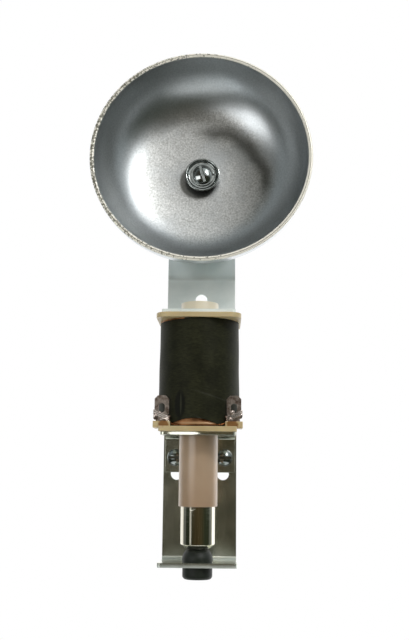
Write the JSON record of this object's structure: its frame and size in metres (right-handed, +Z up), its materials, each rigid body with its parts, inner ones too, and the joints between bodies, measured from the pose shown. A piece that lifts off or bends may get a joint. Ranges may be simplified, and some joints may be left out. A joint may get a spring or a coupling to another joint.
{
  "type": "solenoid gong bell unit",
  "caption": "Single-stroke gong: a coil on a folded steel strip throws a sliding plunger up to strike the skirt of a round bell, and a rubber bumper catches its fall.",
  "frame": {"origin": "on the flat back face of the steel strip, midway between its two mounting holes", "axes": "+X across the strip to the right, +Y out of the back face into the panel it is fixed to, +Z up along the plunger's travel"},
  "size_m": [0.087, 0.0387, 0.2036],
  "materials": {
    "strip_steel": "cold-rolled strip with dull zinc plate",
    "gong_plate": "satin plate on pressed steel",
    "plunger_steel": "turned and polished",
    "fastener_steel": "bright zinc plate",
    "tinned_lug": "hot-tinned",
    "copper": "enamelled magnet wire",
    "tape": "black coil tape",
    "nylon": "natural nylon, aged cream",
    "rubber": "moulded black rubber"
  },
  "bodies": {
    "frame": {"frame_strip": "strip_steel", "upper_coil_bracket": "strip_steel", "upper_bracket_rivets": "fastener_steel", "lower_coil_bracket": "strip_steel", "lower_bracket_screws": "fastener_steel", "lower_bracket_lock_washers": "fastener_steel", "coil_bobbin": "nylon", "coil_winding": "copper", "coil_tape_wrap": "tape", "solder_lug_left": "tinned_lug", "solder_lug_right": "tinned_lug", "lead_wire_left": "copper", "lead_wire_right": "copper", "coil_sleeve": "nylon", "rubber_bumper": "rubber", "gong": "gong_plate", "gong_rear_washer": "rubber", "gong_front_washer": "rubber", "gong_cup_washer": "fastener_steel", "gong_screw_washer": "fastener_steel", "gong_screw": "fastener_steel"},
    "plunger": {"plunger_body": "plunger_steel", "plunger_striker": "nylon"}
  },
  "joints": [
    {"name": "plunger_slide", "type": "slide", "parent": "frame", "child": "plunger", "axis": [0, 0, 1], "range_m": [0, 0.0166]}
  ]
}
